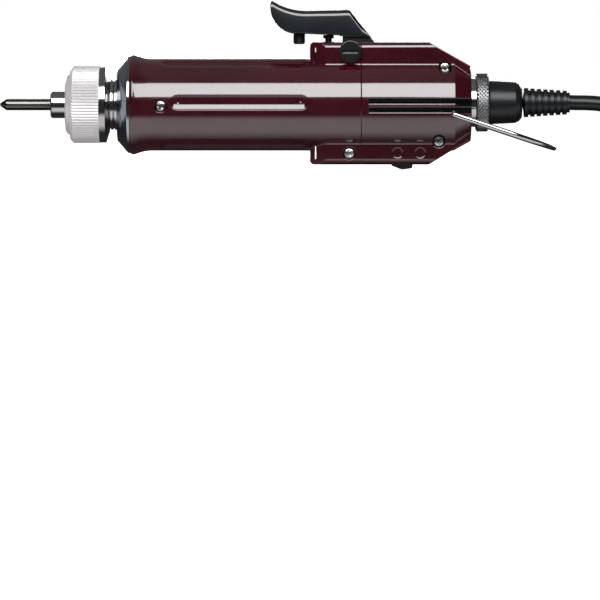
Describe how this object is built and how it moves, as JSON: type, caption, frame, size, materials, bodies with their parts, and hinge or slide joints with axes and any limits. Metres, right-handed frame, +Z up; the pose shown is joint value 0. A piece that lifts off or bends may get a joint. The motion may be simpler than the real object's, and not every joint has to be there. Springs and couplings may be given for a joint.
{
  "type": "electric torque screwdriver",
  "caption": "In-line electric torque screwdriver with start lever, reversing rocker, knurled torque nut, quick-change bit, hanging bail and corded tail plug.",
  "frame": {"origin": "spindle axis at the chuck sleeve's front face, where the bit's working shank comes out", "axes": "+X along the tool from the bit to the cord, +Z up towards the start lever, +Y to the tool's right side, away from the screw heads"},
  "size_m": [0.4428, 0.042, 0.0657],
  "materials": {
    "casing": "glossy dark maroon moulding",
    "bright_metal": "bright plated",
    "steel": "turned steel",
    "dark_steel": "dark tool steel",
    "aluminium": "machined",
    "bronze": "sintered bronze",
    "copper": "enamelled copper",
    "black_gloss": "glossy black moulding",
    "black_plastic": "satin black moulding",
    "cord_rubber": "soft black jacket",
    "board": "green laminate",
    "magnet": "ferrite"
  },
  "bodies": {
    "tool": {"front_casing_left": "casing", "front_casing_right": "casing", "rear_casing_left": "casing", "rear_casing_right": "casing", "nose_cone": "bright_metal", "clutch_housing": "steel", "torque_spring": "dark_steel", "thrust_bearing": "steel", "spindle_bush": "bronze", "ring_gear": "steel", "motor_plate": "steel", "motor_can": "steel", "motor_magnets": "magnet", "motor_bearings": "bronze", "brushes": "magnet", "motor_end_cap": "black_plastic", "lever_pivot": "steel", "pivot_knob": "black_gloss", "lever_spring": "dark_steel", "plunger_guide": "black_plastic", "start_switch": "black_plastic", "reverse_switch": "black_plastic", "circuit_board": "board", "keel_screws": "bright_metal", "nose_screws": "bright_metal", "tail_socket": "bright_metal", "plug_body": "black_plastic", "strain_relief": "cord_rubber", "cord": "cord_rubber", "cord_hank": "cord_rubber", "cord_tail": "cord_rubber", "power_plug": "aluminium", "power_plug_boot": "cord_rubber"},
    "spindle": {"spindle": "steel", "bit": "dark_steel", "chuck_balls": "bright_metal", "chuck_spring": "dark_steel", "chuck_clip": "dark_steel", "clutch_plate": "steel", "clutch_balls": "bright_metal", "planet_carrier": "steel"},
    "sleeve": {"chuck_sleeve": "bright_metal"},
    "planet_1": {"planet_gear_1": "bronze"},
    "planet_2": {"planet_gear_2": "bronze"},
    "planet_3": {"planet_gear_3": "bronze"},
    "rotor": {"motor_pinion": "bronze", "rotor_shaft": "steel", "rotor_core": "copper", "commutator": "copper"},
    "nut_carriage": {"thrust_ring": "steel", "push_pins": "steel", "spring_seat": "steel"},
    "nut": {"torque_nut": "bright_metal"},
    "lever": {"start_lever": "black_gloss", "stop_peg": "black_plastic"},
    "plunger": {"switch_plunger": "black_plastic"},
    "rocker": {"reverse_rocker": "black_gloss"},
    "bail": {"hanging_bail": "bright_metal"},
    "lock_ring": {"locking_ring": "bright_metal"}
  },
  "joints": [
    {"name": "rotor_spin", "type": "hinge", "parent": "tool", "child": "rotor", "pos_m": [0.087, 0, 0], "axis": [1, 0, 0], "continuous": true},
    {"name": "spindle_spin", "type": "hinge", "parent": "tool", "child": "spindle", "pos_m": [0.02, 0, 0], "axis": [1, 0, 0], "continuous": true},
    {"name": "planet_1_spin", "type": "hinge", "parent": "spindle", "child": "planet_1", "pos_m": [0.059, 0.0075, 0], "axis": [1, 0, 0], "continuous": true},
    {"name": "planet_2_spin", "type": "hinge", "parent": "spindle", "child": "planet_2", "pos_m": [0.059, -0.00375, 0.0065], "axis": [1, 0, 0], "continuous": true},
    {"name": "planet_3_spin", "type": "hinge", "parent": "spindle", "child": "planet_3", "pos_m": [0.059, -0.00375, -0.0065], "axis": [1, 0, 0], "continuous": true},
    {"name": "thrust_slide", "type": "slide", "parent": "tool", "child": "nut_carriage", "axis": [1, 0, 0], "range_m": [-0.0015, 0.0025], "deforming": ["torque_spring"]},
    {"name": "nut_turn", "type": "hinge", "parent": "nut_carriage", "child": "nut", "pos_m": [0.014, 0, 0], "axis": [1, 0, 0], "range_deg": [-360, 600]},
    {"name": "sleeve_slide", "type": "slide", "parent": "spindle", "child": "sleeve", "axis": [1, 0, 0], "range_m": [0, 0.002], "stiffness_N_per_m": 400, "springref_m": -0.003, "deforming": ["chuck_spring"]},
    {"name": "lever_press", "type": "hinge", "parent": "tool", "child": "lever", "pos_m": [0.1166, 0, 0.0205], "axis": [0, -1, 0], "range_deg": [0, 8], "stiffness_Nm_per_rad": 0.3, "springref_deg": -14.32, "deforming": ["lever_spring"]},
    {"name": "plunger_slide", "type": "slide", "parent": "tool", "child": "plunger", "axis": [0, 0, -1], "range_m": [0, 0.00127]},
    {"name": "rocker_tilt", "type": "hinge", "parent": "tool", "child": "rocker", "pos_m": [0.1372, 0, -0.0204], "axis": [0, 1, 0], "range_deg": [-12, 0]},
    {"name": "bail_swing", "type": "hinge", "parent": "tool", "child": "bail", "pos_m": [0.1566, 0, -0.0038], "axis": [0, 1, 0], "range_deg": [-15, 100]},
    {"name": "ring_turn", "type": "hinge", "parent": "tool", "child": "lock_ring", "pos_m": [0.168, 0, 0.0008], "axis": [1, 0, 0], "range_deg": [0, 60]}
  ],
  "couplings": [
    {"joint": "spindle_spin", "follows": "rotor_spin", "ratio": 0.2},
    {"joint": "planet_1_spin", "follows": "rotor_spin", "ratio": -0.53333},
    {"joint": "planet_2_spin", "follows": "rotor_spin", "ratio": -0.53333},
    {"joint": "planet_3_spin", "follows": "rotor_spin", "ratio": -0.53333},
    {"joint": "thrust_slide", "follows": "nut_turn", "m_per_rad": 0.00023873},
    {"joint": "plunger_slide", "follows": "lever_press", "m_per_rad": 0.009}
  ]
}
